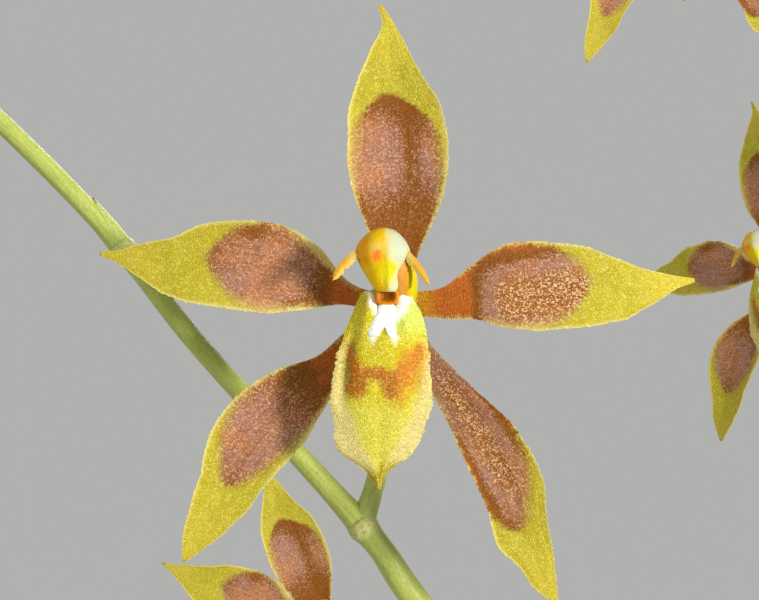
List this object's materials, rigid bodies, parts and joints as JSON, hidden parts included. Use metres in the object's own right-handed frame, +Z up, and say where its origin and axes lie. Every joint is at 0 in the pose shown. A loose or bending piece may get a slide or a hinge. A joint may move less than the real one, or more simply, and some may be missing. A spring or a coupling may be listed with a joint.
{
  "type": "potted orchid",
  "caption": "Potted orchid: flattened pseudobulbs with arching strap leaves in a clay pot of bark, and a branched flower stem with star-shaped yellow and brown blooms",
  "frame": {"origin": "centre of the pot's foot, on the surface that the pot stands on", "axes": "+Z up; -Y towards the viewer, the way the pictured bloom faces; +X to the viewer's right"},
  "size_m": [0.3589, 0.3507, 0.5071],
  "materials": {
    "clay": "unglazed",
    "bark": "rough",
    "root": "matt",
    "bulb": "satin",
    "leaf": "satin",
    "stem": "satin",
    "tepal": "satin, fine sparkling cells",
    "lip": "satin, fine sparkling cells",
    "column": "satin"
  },
  "bodies": {
    "root": {"pot": "clay", "bark": "bark", "rhizome_roots": "root", "pseudobulb_1": "bulb", "pseudobulb_2": "bulb", "pseudobulb_3": "bulb", "leaf_1": "leaf", "leaf_2": "leaf", "leaf_3": "leaf", "leaf_4": "leaf", "leaf_5": "leaf", "leaf_6": "leaf", "leaf_7": "leaf", "leaf_8": "leaf", "leaf_9": "leaf", "leaf_10": "leaf", "flower_stem": "stem", "bloom_1_tepals": "tepal", "bloom_1_lip": "lip", "bloom_1_column": "column", "bloom_2_tepals": "tepal", "bloom_2_lip": "lip", "bloom_2_column": "column", "bloom_3_tepals": "tepal", "bloom_3_lip": "lip", "bloom_3_column": "column", "bloom_4_tepals": "tepal", "bloom_4_lip": "lip", "bloom_4_column": "column", "bloom_5_tepals": "tepal", "bloom_5_lip": "lip", "bloom_5_column": "column", "bloom_6_tepals": "tepal", "bloom_6_lip": "lip", "bloom_6_column": "column", "bloom_7_tepals": "tepal", "bloom_7_lip": "lip", "bloom_7_column": "column", "bloom_8_tepals": "tepal", "bloom_8_lip": "lip", "bloom_8_column": "column", "bloom_9_tepals": "tepal", "bloom_9_lip": "lip", "bloom_9_column": "column"}
  },
  "joints": []
}
